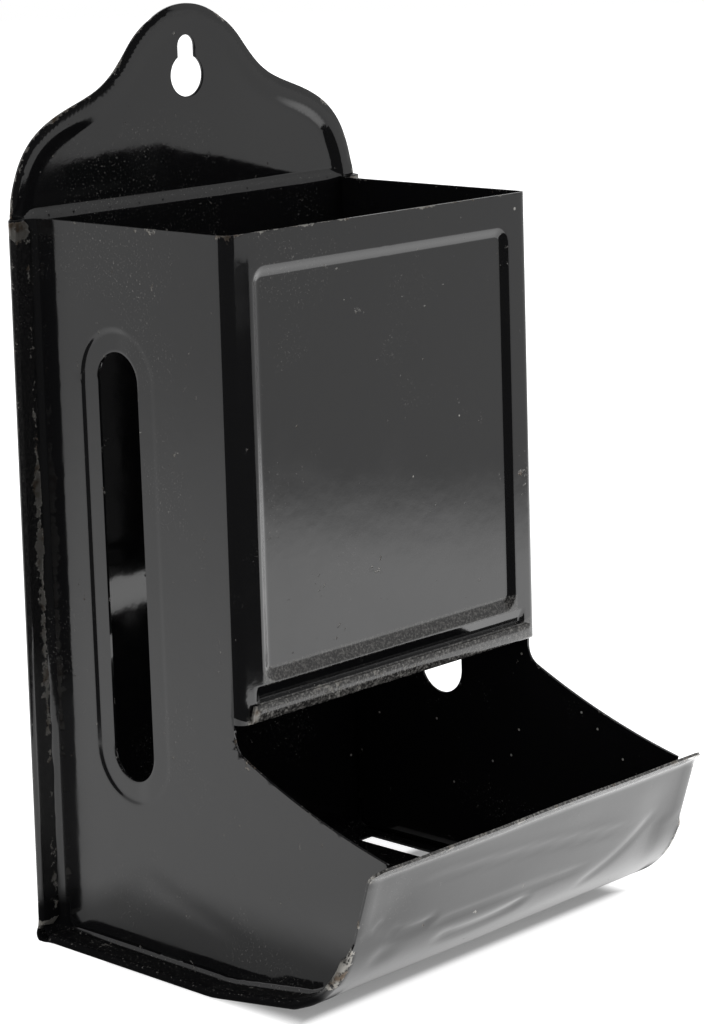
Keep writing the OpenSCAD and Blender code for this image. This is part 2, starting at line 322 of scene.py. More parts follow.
# Dents
def crease(p, a, b, width, depth, curve=0.0):
    """How much a soft crease from a to b in a plane takes at p."""
    a, b, p = (np.asarray(q, float) for q in (a, b, p))
    d = b - a
    length = np.linalg.norm(d)
    t = float((p - a) @ d) / length**2
    across = float(d[0] * (p - a)[1] - d[1] * (p - a)[0]) / length
    across -= curve * 4 * t * (1 - t)
    ends = smooth((t + 0.12) / 0.2) * smooth((1.12 - t) / 0.2)
    return depth * ends * math.exp(-((across / width) ** 2))


def hollow(p, c, rx, ry, depth):
    """How much a soft round hollow about c takes at p."""
    q = ((p[0] - c[0]) / rx) ** 2 + ((p[1] - c[1]) / ry) ** 2
    return depth * math.exp(-q)


# The head's outline: half widths at heights, measured from the top of the dome down
OUTLINE = (
    (0.0, 162.4), (2.4, 162.2), (4.4, 161.7), (6.2, 161.0), (7.7, 160.1), (9.1, 159.3), (10.4, 158.5),
    (12.0, 157.1), (13.3, 155.7), (14.4, 154.2), (15.6, 152.8), (16.8, 151.4), (18.2, 150.1), (19.8, 148.9),
    (21.6, 147.9), (24.3, 146.8), (27.4, 145.7), (30.2, 144.6), (32.6, 143.4), (34.5, 142.2), (36.0, 141.0),
    (37.2, 139.7), (38.2, 138.4), (39.0, 137.1), (39.6, 135.8), (40.2, 134.3), (40.7, 132.8), (41.1, 131.3),
    (41.4, 129.8), (41.65, 128.2),
)
HEAD_SIDE, HEAD_FOOT = OUTLINE[-1]
SMOOTH_REACH, SMOOTH_WIDTH = 6, 3.2


def lengths(line):
    """Length along a line up to each of its points."""
    return np.concatenate([[0], np.cumsum(np.linalg.norm(np.diff(line, axis=0), axis=1))])


def at_lengths(line, even):
    """Points of a line at the given lengths along it."""
    return np.stack([np.interp(even, lengths(line), line[:, k]) for k in (0, 1)], axis=1)


def smoothed_outline():
    """The outline at every half millimetre of its length, with the unevenness of measuring taken out."""
    right = np.array(OUTLINE)
    whole = np.vstack([right[:0:-1] * (-1, 1), right, [(HEAD_SIDE + 0.03, 126.6)]])
    whole = np.vstack([[(-HEAD_SIDE - 0.03, 126.6)], whole])
    line = at_lengths(whole, np.arange(0, lengths(whole)[-1], 0.5))
    weights = np.exp(-((np.arange(-SMOOTH_REACH, SMOOTH_REACH + 1) / SMOOTH_WIDTH) ** 2))
    weights /= weights.sum()
    ends = [np.repeat(end, SMOOTH_REACH, axis=0) for end in (line[:1], line[-1:])]
    padded = np.vstack([ends[0], line, ends[1]])
    line = np.stack([np.convolve(padded[:, k], weights, "valid") for k in (0, 1)], axis=1)
    half = line[line[:, 0] > 0.05]
    half = half[half[:, 1] > HEAD_FOOT]
    top = (0.0, float(half[0][1]) + 0.002)
    return np.vstack([[top], half, [(HEAD_SIDE, HEAD_FOOT)]])


HEAD_LINE = smoothed_outline()


def head_outline(inset, size=0.9):
    """Right half of the head's outline from the top of the dome down, moved in by inset."""
    tangent = np.gradient(HEAD_LINE, axis=0)
    tangent[0] = (1, 0)
    tangent /= np.linalg.norm(tangent, axis=1)[:, None]
    moved = HEAD_LINE + inset * np.stack([tangent[:, 1], -tangent[:, 0]], axis=1)
    whole = lengths(moved)[-1]
    even = np.linspace(0, whole, max(8, round(whole / size)))
    return [(float(x), float(z)) for x, z in at_lengths(moved, even)]


# The strip: head, back, floor and scoop
RIM, FIELD_SLOPE, HEAD_PRESS = 2.6, 2.2, 0.68
FIELD_LOW, FIELD_FOOT = 128.7, 127.5
EDGE_TURN, EDGE_W = 0.2, 1.0
# How the field leans forward: by BOW per millimetre of height, fading out between two heights
BOW, BOW_FROM, BOW_FADE, BOW_END = 0.0375, 128.0, 140.0, 147.0
# Where along the strip its edges are folded over
HEMS = ((S_TOP, -(NOTCH - HEEL)), (S_FLOOR + 0.6, S_FRONT - 1.5))
HEM_EASE = 2.0
FLAP = math.pi * FOLD + 3.1
LIP_CORNER = 2.2
HEEL_CRUSH, HEEL_CRUSH_X = 0.55, 37.5
# Rows of points along the head's edge and round the keyhole
RIM_ROWS = (0.25, 0.5, 0.75, 1.0, 1.3, 1.7, 2.0, 2.3, 2.6, 2.9, 3.4, 3.9, 4.4, 4.8, 5.1, 5.4, 5.8, 6.4)
KEY_RINGS = (0.3, 0.7, 1.2)
outline_full = np.vstack([HEAD_LINE[:0:-1] * (-1, 1), HEAD_LINE])
outline_long = np.vstack([[(-HEAD_SIDE, 90.0)], outline_full, [(HEAD_SIDE, 90.0)]])


def ramp(t, k=0.14):
    """Straight rise from 0 to 1 with eased ends."""
    if t <= -k:
        return 0.0
    if t < k:
        return (t + k) ** 2 / (4 * k)
    if t < 1 - k:
        return t
    if t < 1 + k:
        return 1 - (1 + k - t) ** 2 / (4 * k)
    return 1.0


def pressed(x, z):
    """How far the head is pressed back towards the wall at a point, in millimetres."""
    if z < FIELD_FOOT - 0.5:
        return 0.0
    d = float(distance([(x, z)], outline_long, closed=False)[0])
    side = (d - RIM) / FIELD_SLOPE
    foot = (z - FIELD_FOOT) / (FIELD_LOW - FIELD_FOOT)
    k = 0.3
    both = min(side, foot)
    if abs(side - foot) < k:
        both -= (k - abs(side - foot)) ** 2 / (4 * k)
    turned = EDGE_TURN * (1 - smooth(d / EDGE_W)) * smooth((z - 128.5) / 2.5)
    return HEAD_PRESS * ramp(both) + turned - bowed(x, z) * ramp(both)


def bowed(x, z):
    """How far the head's field leans forward above its foot, which turns its face down a little."""
    rise = BOW * (min(z, BOW_FADE) - BOW_FROM)
    if z > BOW_FADE:
        t = min(z, BOW_END) - BOW_FADE
        rise += BOW * (t - t * t / (2 * (BOW_END - BOW_FADE)))
    share = 1.0 - 0.8 * smooth((x - 8.0) / 24.0) - 0.35 * smooth((-x - 14.0) / 20.0)
    return max(0.0, rise) * share


def folded(s):
    """1 where the strip's edge is folded over, 0 where it is flat."""
    f = 0.0
    for s0, s1 in HEMS:
        f = max(f, smooth((s - s0 + HEM_EASE) / HEM_EASE) * smooth((s1 + HEM_EASE - s) / HEM_EASE))
    return f


def strip_point(xx, s):
    """Place and thickness direction of the strip's outer face at unfolded distance xx and length s."""
    p, a = path.at(s)
    side = 1 if xx >= 0 else -1
    b = abs(xx) - FOLD_X
    n, tilt = 0.0, 0.0
    x = xx
    if b > 0:
        f = folded(s)
        if f < 1e-3:
            x = side * (FOLD_X + b)
        else:
            r = FOLD / f
            tilt = min(b / r, math.pi)
            x = FOLD_X + r * math.sin(tilt)
            n = r * (1 - math.cos(tilt))
            if b / r > math.pi:
                x = FOLD_X - (b - math.pi * r)
            x *= side
    if s < -(FIELD_FOOT - 0.5 - HEEL) and b <= 0.8:
        n -= pressed(xx, HEEL - s)
    if -2.0 < s < S_FLOOR + 2.0:
        # The heel is crushed to a sharper corner at the strip's edges
        share = math.sin(math.pi * (s + 2.0) / (S_FLOOR + 4.0)) ** 2
        n -= HEEL_CRUSH * smooth((abs(x) - HEEL_CRUSH_X) / 3.0) * share
    q = inward(p, a, n)
    norm = np.array([-math.sin(a), math.cos(a)])
    into = np.array([-side * math.sin(tilt), 0.0, 0.0])
    into += aim(0, norm[0] * math.cos(tilt), norm[1] * math.cos(tilt))
    return row(x, q[0], q[1]), into


def stepped(a, b, size):
    """Even steps of about the given size from a up to, but without, b."""
    n = max(1, round((b - a) / size))
    return [a + (b - a) * k / n for k in range(n)]


def path_s_of_floor(u):
    return S_FLOOR + u - BACK - HEEL


def make_strip():
    sheet = Sheet()

    def put(xx, s):
        return sheet.add((xx, -s), *strip_point(xx, s))

    rows = stepped(S_TOP, S_TOP + 5.2, 0.4) + stepped(S_TOP + 5.2, -6.0, 1.5) + stepped(-6.0, 0.0, 0.5)
    rows += stepped(0.0, S_FLOOR, 0.35) + stepped(S_FLOOR, 7.2, 0.5)
    rows += stepped(7.2, S_TOE, 1.4) + stepped(S_TOE, S_SCOOP, 0.5) + stepped(S_SCOOP, S_LIP, 0.8)
    rows += stepped(S_LIP, path.end, 0.3) + [path.end]
    fold_cols = [FOLD_X + FOLD * math.pi * k / 8 for k in range(1, 9)]
    flap_cols = fold_cols + [FOLD_X + math.pi * FOLD + d for d in (0.8, 1.6, 2.4)]

    def flapped(s):
        return any(s0 <= s <= s1 for s0, s1 in HEMS)

    def flap_edge(s):
        """Unfolded width of the fold and hem at length s."""
        reach = FLAP + 0.25 * seeded((s * 0.2, 0, 0), 1.0, 3) + 0.12 * seeded((s, 0, 0), 0.8, 4)
        for s0, s1 in HEMS:
            if s0 <= s <= s1:
                reach -= max(0.0, 1.4 - (s - s0)) + max(0.0, 1.4 - (s1 - s))
        return FOLD_X + reach

    def flat_edge(s):
        """Half width where the edge is not folded over."""
        narrow = 1.1 * smooth((s - S_FRONT + 1.0) / 3.0)
        corner = max(0.0, s - (path.end - LIP_CORNER))
        return HALF - narrow - (LIP_CORNER - math.sqrt(max(0.0, LIP_CORNER**2 - corner**2)))

    # The right-hand edge, from the dome to the lip
    edge = [(x, HEEL - z) for x, z in head_outline(0.0)] + [(HEAD_SIDE, HEEL - TOP - 0.3)]
    was = False
    marks = sorted(set(rows + [m for h in HEMS for m in h]))
    for s in marks:
        now = flapped(s)
        if now and not was and s > 0:
            edge.append((flat_edge(s), s - 0.02))
        if was and not now:
            edge.append((flat_edge(s), s - 0.01 if s - 0.01 > edge[-1][1] else s))
        edge.append((flap_edge(s) if now else flat_edge(s), s))
        was = now
    clean = [edge[0]]
    for e in edge[1:]:
        if math.dist(e, clean[-1]) > 0.015:
            clean.append(e)
    edge = clean
    right = [put(x, s) for x, s in edge]
    left = [put(-x, s) for x, s in edge[1:]]
    lip_x = edge[-1][0]
    bottom_x = [-lip_x + 2 * lip_x * k / 56 for k in range(1, 56)]
    bottom = [put(x, path.end) for x in bottom_x[::-1]]
    sheet.loop(right + bottom + left[::-1])

    # The keyhole and rings of points round it
    hole = []
    a0 = math.asin(KEY_SLOT / KEY_R)
    for k in range(49):
        t = math.pi / 2 + a0 + (2 * math.pi - 2 * a0) * k / 48
        hole.append((KEY_R * math.cos(t), KEY_Z + KEY_R * math.sin(t)))
    for k in range(13):
        t = math.pi * k / 12
        hole.append((KEY_SLOT * math.cos(t), KEY_Z + KEY_RISE + KEY_SLOT * math.sin(t)))
    key = [put(x, HEEL - z) for x, z in hole]
    sheet.loop(key)
    around = []
    for gap in KEY_RINGS:
        for x, z in hole:
            middle = KEY_Z if z < KEY_Z + KEY_R * 0.9 else KEY_Z + KEY_RISE
            grown = 1 + gap / math.hypot(x, z - middle)
            around.append((x * grown, middle + (z - middle) * grown))
    # The slit in the floor
    x0, x1 = BODY - SLIT_IN - SLIT_W, BODY - SLIT_IN
    s0, s1 = path_s_of_floor(SLIT_NEAR), path_s_of_floor(SLIT_NEAR + SLIT_L)
    slit = [(x0, s0), (x1, s0), (x1, s1), (x0, s1)]
    dense = []
    for (ax, ay), (bx, by) in zip(slit, slit[1:] + slit[:1]):
        n = max(1, round(math.dist((ax, ay), (bx, by)) / 1.5))
        dense += [(ax + (bx - ax) * k / n, ay + (by - ay) * k / n) for k in range(n)]
    slit_ids = [put(x, s) for x, s in dense]
    sheet.loop(slit_ids)

    # The points between
    walls = np.array([(x, -s) for x, s in edge] + [(-x, -s) for x, s in edge[::-1]])
    hole2 = np.array([(x, -(HEEL - z)) for x, z in hole])
    slit2 = np.array([(x, -s) for x, s in dense])
    points = []
    for s in rows[:-1]:
        for k in range(1, 60):
            x = -FOLD_X + 2 * FOLD_X * k / 60
            points.append((x, s, 0.5))
        for side in (-1, 1):
            points.append((side * FOLD_X, s, 0.2))
            if flapped(s):
                for c in flap_cols:
                    points.append((side * c, s, 0.22))
            else:
                points.append((side * (FOLD_X + 0.4), s, 0.3))
    points += [(x, HEEL - z, 0.25) for x, z in around]
    # Rows along the head's rim
    for inset in RIM_ROWS:
        for x, z in head_outline(inset, 1.0):
            if z > FIELD_LOW + 1.0 or inset < RIM:
                points.append((x, HEEL - z, 0.2))
                if x > 1e-6:
                    points.append((-x, HEEL - z, 0.2))
    z = TOP + 0.35
    while z < 131:
        for k in range(-50, 51):
            points.append((k * 0.8, HEEL - z, 0.3))
        z += 0.35
    for i in range(-24, 25):
        for j in range(22):
            points.append((i * 1.8 + (j % 2) * 0.9, HEEL - (133.6 + j * 1.5), 0.8))
    flat = np.array([(p[0], -p[1]) for p in points])
    room = np.minimum(distance(flat, walls), distance(flat, hole2))
    room = np.minimum(room, distance(flat, slit2))
    ok = inside(flat, walls) & ~inside(flat, hole2) & ~inside(flat, slit2)
    free = spacing(0.3)
    for (x, s, gap), r, good in zip(points, room, ok):
        if good and r >= gap * 0.7 and free((x, s), min(gap, 0.28)):
            put(x, s)
    return sheet


# Creases of the scoop's front by side and height: from, to, width, depth, curve
CREASES = (
    ((-24.5, 23.6), (22.5, 19.0), 0.55, 0.22, 0.5),
    ((-24.5, 24.6), (22.5, 20.0), 0.8, -0.1, 0.5),
    ((-21, 14.6), (14, 13.7), 0.6, 0.26, 0.2),
    ((32.5, 18.6), (17, 10.6), 0.9, 0.17, 0.6),
    ((-36.5, 18.6), (-31.5, 16.0), 0.8, 0.4, -0.2),
    ((-31.5, 16.0), (-23.0, 15.6), 0.8, 0.4, -0.5),
    ((-19.3, 11.4), (1.0, 11.8), 0.9, 0.38, -0.8),
)
# Its hollows: middle, two radii, depth
HOLLOWS = (
    ((-34, 12.5), 3, 1.6, 0.3),
    ((12, 7.0), 10, 1.8, 0.22),
    ((34, 17), 4.5, 7, 0.35),
    ((-33, 22), 5, 4, 0.25),
)


def strip_dents(p, d):
    """Creases, dents and waves of the scoop's front and of the lip's edge."""
    x, y, z = p
    u = WALL - y
    amount = 0.0
    if u > 60 and z < 31 and abs(x) < 41.6:
        q = (x, z)
        for values in CREASES:
            amount += crease(q, *values)
        for values in HOLLOWS:
            amount += hollow(q, *values)
        # Slow waves, then no dents at the seam, and borders that stand out a little
        amount += 0.12 * seeded((x * 0.06, z * 0.16, 0), 1.0, 11)
        amount *= 1.0 - smooth((abs(x) - 35.3) / 1.5) * smooth((18.0 - z) / 1.5)
        amount -= 0.22 * band(abs(x), 40.0, 1.0) * smooth((z - 16.5) / 2.0) * smooth((28.5 - z) / 1.5)
        # The lip's edge is uneven
        amount += 0.25 * smooth((z - 25) / 4) * seeded((x * 0.05, 0, 0), 1.0, 12)
    return d * amount


def housing_dents(p, d):
    """A long shallow crease and a hollow low on the left side wall."""
    x, y, z = p
    u = WALL - y
    amount = 0.0
    if x < -BODY + 1.5 and z < 45 and u > 8:
        q = (u, z)
        amount += crease(q, (26.5, 14.1), (59.0, 4.6), 1.5, 0.07, 0.6)
        amount += hollow(q, (24, 15), 7, 3, 0.06)
    return d * amount


# The housing: side walls with their flanges and slots, and the front with panel, groove and hem
REAR_R, LOW_R = 2.0, 1.0
REAR_U = BACK + FLANGE_N + SHEET
BEND_U = DEPTH - CORNER
SIDE_U = REAR_U + REAR_R
LOW_N = FLANGE_N + SHEET + LOW_R
ARC = CORNER * math.pi / 2
P_FRONT = BEND_U + ARC
P_MID = P_FRONT + BODY - CORNER
SLOT_R, SLOT_LOW, SLOT_HIGH = 5.1, 31.5, 106.0
SLOT_AT = {"left": (21.75, 0.6), "right": (25.7, 0.3)}
SLOT_BORDER, SLOT_PRESS = 4.3, 0.2
PANEL_X, PANEL_LOW, PANEL_HIGH = 31.7, 52.0, 122.0
PANEL_PRESS, PANEL_SLOPE, PANEL_R = 0.7, 2.2, 3.2
GROOVE_LOW, GROOVE_DEEP, GROOVE_HIGH, GROOVE_X, GROOVE_PRESS = 49.0, 49.45, 51.9, 33.2, 0.72
GROOVE_ROWS = (49.0, 49.15, 49.3, 49.45, 49.6, 49.8, 50.12, 50.4, 50.8, 51.2, 51.5, 51.7, 51.9)
LEAN, LEAN_FROM = 0.28, 31.9
FLANGE_X = 41.4
FLARE, FLARE_FROM = 0.36, 10.5
HEM_FOLD_Z = MOUTH + SHEET + 0.05
HEM_TOP = 48.9
HEM_HIGH = HEM_TOP - HEM_FOLD_Z
# The cheek's hollow edge: heights of its ends, radius, and radius at the rear
CHEEK_BACK, CHEEK_TIP, CHEEK_R, CHEEK_CORNER = 41.6, 29.2, 150.0, 3.5
CHEEK_FOOT = S_FRONT + 10.5
FLANGE_KEEP = 0.12


def slot_centre(side, z):
    """Forward distance of a slot's centre line, which leans a little."""
    at, lean = SLOT_AT[side]
    return at + lean * (100.0 - z) / 63.0


def slot_distance(side, u, z):
    """Distance from the slot's centre line."""
    zc = min(max(z, SLOT_LOW + SLOT_R), SLOT_HIGH - SLOT_R)
    return math.hypot(u - slot_centre(side, z), z - zc)


def rect_distance(x, z, hx, z0, z1, r):
    """Signed distance to a round-cornered rectangle, positive inside."""
    qx = abs(x) - (hx - r)
    qz = abs(z - (z0 + z1) / 2) - ((z1 - z0) / 2 - r)
    outer = math.hypot(max(qx, 0), max(qz, 0)) + min(max(qx, qz), 0)
    return r - outer


def face_press(x, z):
    """How far the front is pressed in at a point."""
    d = rect_distance(x, z, PANEL_X, PANEL_LOW, PANEL_HIGH, PANEL_R)
    panel = PANEL_PRESS * smooth(d / PANEL_SLOPE)
    rise = (GROOVE_HIGH - z) / (GROOVE_HIGH - GROOVE_DEEP)
    fall = (z - GROOVE_LOW) / (GROOVE_DEEP - GROOVE_LOW)
    groove = GROOVE_PRESS * max(0.0, min(rise, fall, GROOVE_X - abs(x), 1.0))
    return panel + groove


def border_lean(side, x, z):
    """How far the border left of the panel leans in towards the corner."""
    if side != "left" or abs(x) < LEAN_FROM:
        return 0.0
    across = min(1.0, (abs(x) - LEAN_FROM) / (BODY - CORNER - LEAN_FROM))
    return LEAN * across * smooth((z - MOUTH - 0.2) / 1.6) * smooth((125.0 - z) / 2.5)


def flare_at(u):
    """How far the wall flares out before its rear bend."""
    return FLARE * max(0.0, (FLARE_FROM - u) / (FLARE_FROM - SIDE_U)) ** 2


def wall_point(side, p, z):
    """Place and thickness direction of one half of the housing's outer face, drawn as the left half."""
    if p <= BEND_U or z < MOUTH - 4.5 or (z < MOUTH - 0.01 and p < P_FRONT + 0.2):
        d = slot_distance(side, p, z) - SLOT_R
        ahead = smooth((p - slot_centre(side, z)) / 4.0)
        press = SLOT_PRESS * (1.0 - 0.75 * ahead) * smooth((SLOT_BORDER - d) / 1.1)
        return row(-BODY + press - flare_at(p), p, z), aim(1, 0, 0)
    if p < P_FRONT:
        a = (p - BEND_U) / CORNER
        c, s = math.cos(a), math.sin(a)
        flat = BODY - CORNER
        lean = s * border_lean(side, -flat, z)
        return row(-flat - CORNER * c, BEND_U + CORNER * s - lean, z), aim(c, -s, 0)
    x = p - P_FRONT - (BODY - CORNER)
    return row(x, DEPTH - face_press(x, z) - border_lean(side, x, z), z), aim(0, -1, 0)


def bend_line():
    """Samples along the line where the side wall turns outward: place, direction, bend radius, length."""
    samples = []
    r = 0.5
    corner = np.array([SIDE_U + r, LOW_N + r])
    for z in [TOP] + stepped(corner[1], TOP, 1.6)[::-1]:
        samples.append((np.array([SIDE_U, z]), np.array([-1.0, 0.0]), REAR_R, None))
    for k in range(1, 12):
        t = math.pi + math.pi / 2 * k / 12
        d = np.array([math.cos(t), math.sin(t)])
        samples.append((corner + r * d, d, REAR_R + (LOW_R - REAR_R) * k / 12, None))
    s_values = stepped(S_FLOOR + corner[0] - (BACK + HEEL), S_TOE, 1.5) + stepped(S_TOE, S_SCOOP, 0.6)
    s_values += stepped(S_SCOOP, S_FRONT, 0.9) + stepped(S_FRONT, CHEEK_FOOT, 1.5)
    for s in s_values:
        p, a = path.at(s)
        samples.append((inward(p, a, LOW_N), np.array([math.sin(a), -math.cos(a)]), LOW_R, s))
    return samples


def cheek_edge():
    """The cheek's hollow top edge from its tip back to below the front panel's corner."""
    _, a = path.at(S_LIP)
    scoop_end, _ = path.at(S_FRONT)
    tip = step(scoop_end, a, (CHEEK_TIP - scoop_end[1]) / math.sin(a))
    tip = inward(tip, a, FLANGE_N + GAP)
    start = np.array([BEND_U, CHEEK_BACK])
    half = np.linalg.norm(tip - start) / 2
    d = (tip - start) / (2 * half)
    rise = math.sqrt(CHEEK_R**2 - half**2)
    c = (start + tip) / 2 + rise * np.array([-d[1], d[0]])
    s_u = BEND_U + CHEEK_CORNER
    s = np.array([s_u, c[1] - math.sqrt((CHEEK_R - CHEEK_CORNER) ** 2 - (s_u - c[0]) ** 2)])
    touch = s + (s - c) / np.linalg.norm(s - c) * CHEEK_CORNER
    t0 = math.atan2(tip[1] - c[1], tip[0] - c[0])
    t1 = math.atan2(touch[1] - c[1], touch[0] - c[0])
    points = [c + CHEEK_R * np.array([math.cos(t), math.sin(t)]) for t in np.linspace(t0, t1, 26)]
    u0 = math.atan2(touch[1] - s[1], touch[0] - s[0])
    for t in np.linspace(u0, -math.pi, 8)[1:]:
        points.append(s + CHEEK_CORNER * np.array([math.cos(t), math.sin(t)]))
    return points


CHEEK = cheek_edge()


def cheek_height(p):
    """Height of the cheek's top edge at a forward distance."""
    return float(np.interp(p, [q[0] for q in CHEEK[::-1]], [q[1] for q in CHEEK[::-1]]))


def make_housing(side):
    """Half of the housing, drawn as the left one, with the slot of its side."""
    sheet = Sheet()

    def put(p, z):
        return sheet.add((p, z), *wall_point(side, p, z))

    line = []
    for b, o, r, s in bend_line():
        f = 1.0 if s is None else 1 - smooth((s - (S_FRONT - 3)) / 2.0)
        full = r * math.pi / 2 + FLANGE_X - BODY - r
        steps = 7 if r > 1.5 else 4
        levels = [r * math.pi / 2 * k / steps for k in range(steps + 1)]
        if f < 0.999:
            full = (LOW_N - FLANGE_N) + f * (full - (LOW_N - FLANGE_N))
        levels += [levels[-1] + (full - levels[-1]) * k / 3 for k in (1, 2)]
        line.append((b, o, r, f, full, [a for a in levels if a < full - FLANGE_KEEP]))

    def curl(b, o, r, f, a):
        """Place of the sheet a beyond the bend line."""
        k = f / r
        if k < 1e-3:
            q, x, t = b + o * min(a, r), 0.0, 0.0
        else:
            t = min(a * k, math.pi / 2)
            q = b + o * min(math.sin(t) / k, r)
            x = (1 - math.cos(t)) / k
            if a * k > math.pi / 2:
                x += a - math.pi / 2 / k
        into = aim(math.cos(t), o[0] * math.sin(t), o[1] * math.sin(t))
        flare = min(flare_at(q[0]), FLARE) * smooth(1.0 - a / full)
        return row(-(BODY + x + flare), q[0], q[1]), into

    outer, bent = [], []
    for b, o, r, f, full, levels in line:
        place, into = curl(b, o, r, f, full)
        q = b + o * full
        outer.append(sheet.add(q, place, into))
        for a in levels:
            place, into = curl(b, o, r, f, a)
            bent.append((b + o * a, place, into))
    # The cheek's front edge and its top edge, then the mouth, the hem and the top
    scoop_end, a = path.at(S_FRONT)
    ids = list(outer)
    for s in stepped(CHEEK_FOOT, S_LIP + 2.2, 1.0)[1:]:
        q = inward(step(scoop_end, a, s - S_FRONT), a, FLANGE_N + GAP)
        if q[1] < CHEEK[0][1] - 0.5:
            ids.append(put(*q))
    for q in CHEEK:
        ids.append(put(q[0] + (1e-4 if q[0] <= BEND_U else 0), q[1]))
    for z in stepped(CHEEK[-1][1], MOUTH, 0.9)[1:] + [MOUTH]:
        ids.append(put(BEND_U, z))
    for k in range(1, 9):
        ids.append(put(BEND_U + ARC * k / 8, MOUTH))
    # The hem along the front's lower edge
    hem_start = P_FRONT + 0.1
    ids.append(put(hem_start, MOUTH))

    def hem_point(p, level):
        """Place and thickness direction: level 0 to 1 is the fold, above 1 the hem in millimetres."""
        x = p - P_FRONT - (BODY - CORNER)
        r = GAP / 2
        if level <= 1:
            t = math.pi * level
            place = row(x, DEPTH + r - r * math.cos(t), HEM_FOLD_Z - r * math.sin(t))
            return place, aim(0, -math.cos(t), -math.sin(t))
        end = smooth((p - hem_start) / 1.2)
        swell = 0.16 * math.sin(math.pi * min(1.0, (level - 1) / HEM_HIGH))
        return row(x, DEPTH + 2 * r + swell * end, HEM_FOLD_Z + level - 1), aim(0, 1, 0)

    def hem_flat(p, level):
        return (p, MOUTH - (level * 1.2 if level <= 1 else 1.2 + level - 1))

    hem_levels = [0.125 * k for k in range(1, 9)] + [1.4, 1.8, 2.2, 2.6, 3.0, 3.25]
    hem_levels = [l for l in hem_levels if l < 1 + HEM_HIGH - 0.12] + [1 + HEM_HIGH]

    def put_hem(p, level):
        return sheet.add(hem_flat(p, level), *hem_point(p, level))

    for l in hem_levels:
        inset = 0.0 if l < 1 else 0.5 * max(0.0, (l - 1) / HEM_HIGH) ** 2 * 1.2
        ids.append(put_hem(hem_start + inset, l))
    cols = list(np.linspace(hem_start + 1.2, P_MID, 34))
    for p in cols:
        ids.append(put_hem(p, 1 + HEM_HIGH))
    for l in hem_levels[-2::-1]:
        ids.append(put_hem(P_MID, l))
    # The front's middle line, with close points at the groove and the panel's slopes
    low, high = PANEL_LOW + PANEL_R, PANEL_HIGH - PANEL_R
    middle = stepped(MOUTH, GROOVE_ROWS[0], 1.0) + list(GROOVE_ROWS) + stepped(52.1, low, 0.25)
    middle += stepped(low, high, 1.0) + stepped(high, PANEL_HIGH + 1.0, 0.25)
    middle += stepped(PANEL_HIGH + 1.0, TOP, 1.0)
    for z in middle:
        ids.append(put(P_MID, z))
    top = stepped(SIDE_U, BEND_U, 1.6) + stepped(BEND_U, P_FRONT, ARC / 8) + stepped(P_FRONT, P_MID, 1.3)
    for p in (top + [P_MID])[:0:-1]:
        ids.append(put(p, TOP))
    # The rear bend's end at the top edge, from the flat out to the flange
    b, o, r, f, full, levels = line[0]
    for a in levels:
        ids.append(sheet.add(b + o * a, *curl(b, o, r, f, a)))
    sheet.loop(ids)
    border = np.array([sheet.flat[i] for i in ids])

    # The slot and the rings round it
    def slot_ring(r, count):
        """Points round the slot's centre line at distance r."""
        ring = []
        straight = stepped(SLOT_LOW + SLOT_R, SLOT_HIGH - SLOT_R, 1.4)
        for k in range(count):
            t = math.pi * k / count
            ring.append((r * math.cos(t), SLOT_HIGH - SLOT_R + r * math.sin(t)))
        ring += [(-r, z) for z in straight[::-1]]
        for k in range(1, count):
            t = math.pi + math.pi * k / count
            ring.append((r * math.cos(t), SLOT_LOW + SLOT_R + r * math.sin(t)))
        ring += [(r, z) for z in straight]
        return [(slot_centre(side, z) + u, z) for u, z in ring]

    ring = slot_ring(SLOT_R, 24)
    sheet.loop([put(*q) for q in ring])
    hole = np.array(ring)

    points = []
    for d in (0.5, 1.2, 2.0, 2.7, 3.0, 3.3, 3.6, 3.9, 4.2, 4.5, 4.8, 5.4):
        points += [(u, z, 0.2) for u, z in slot_ring(SLOT_R + d, 32)]
    # The panel's bend, the groove and the corner
    xs = set(np.round(np.arange(-34, 0.01, 1.36), 3))
    xs |= set(np.round(-PANEL_X + np.arange(-0.8, 3.3, 0.28), 3))
    zs = set(np.round(np.arange(MOUTH + 0.7, TOP, 1.36), 3))
    zs |= set(np.round(PANEL_HIGH + np.arange(-3.0, 0.9, 0.28), 3))
    zs |= set(GROOVE_ROWS)
    zs |= set(np.round(np.arange(52.0, PANEL_LOW + 3.1, 0.25), 3))
    zs = {z for z in zs if not 49.0 < z < 52.0 or round(z, 2) in GROOVE_ROWS}
    xs |= {-33.4, -32.6, -31.9, -31.6, -31.2, -30.9}
    for x in sorted(xs):
        for z in sorted(zs):
            points.append((x + P_FRONT + BODY - CORNER, z, 0.12))
    for k in range(9):
        for z in stepped(MOUTH, TOP, 1.4)[1:]:
            points.append((BEND_U + ARC * k / 8, z, 0.2))
    for i in range(64):
        for j in range(90):
            points.append((SIDE_U + 0.8 + i * 1.45, 1.0 + j * 1.45, 0.8))
    flat = np.array(points)[:, :2]
    extra = np.array([q[0] for q in bent])
    room = np.minimum(distance(flat, border), distance(flat, hole))
    ok = inside(flat, border) & ~inside(flat, hole)
    bend_poly = np.array([b for b, *_ in line])
    on_flat = inside(flat, np.vstack([bend_poly, [(140, 0), (140, 200), (SIDE_U, 200)]]))
    free = spacing(0.8)
    bent_ok = inside(extra, border) & (distance(extra, border) > 0.1)
    for (q, place, into), good in zip(bent, bent_ok):
        if good and free(q, 0.12):
            sheet.add(q, place, into)
    for i, (p, z, gap) in enumerate(points):
        if not ok[i] or room[i] < max(0.12, gap * 0.6) or not on_flat[i]:
            continue
        if z < MOUTH and p > P_FRONT and z > cheek_height(p):
            continue
        if free((p, z), min(gap, 0.75)):
            put(p, z)
    for p in cols:
        for l in hem_levels[:-1]:
            q = hem_flat(p, l)
            if float(distance([q], border)[0]) > 0.1 and free(q, 0.1):
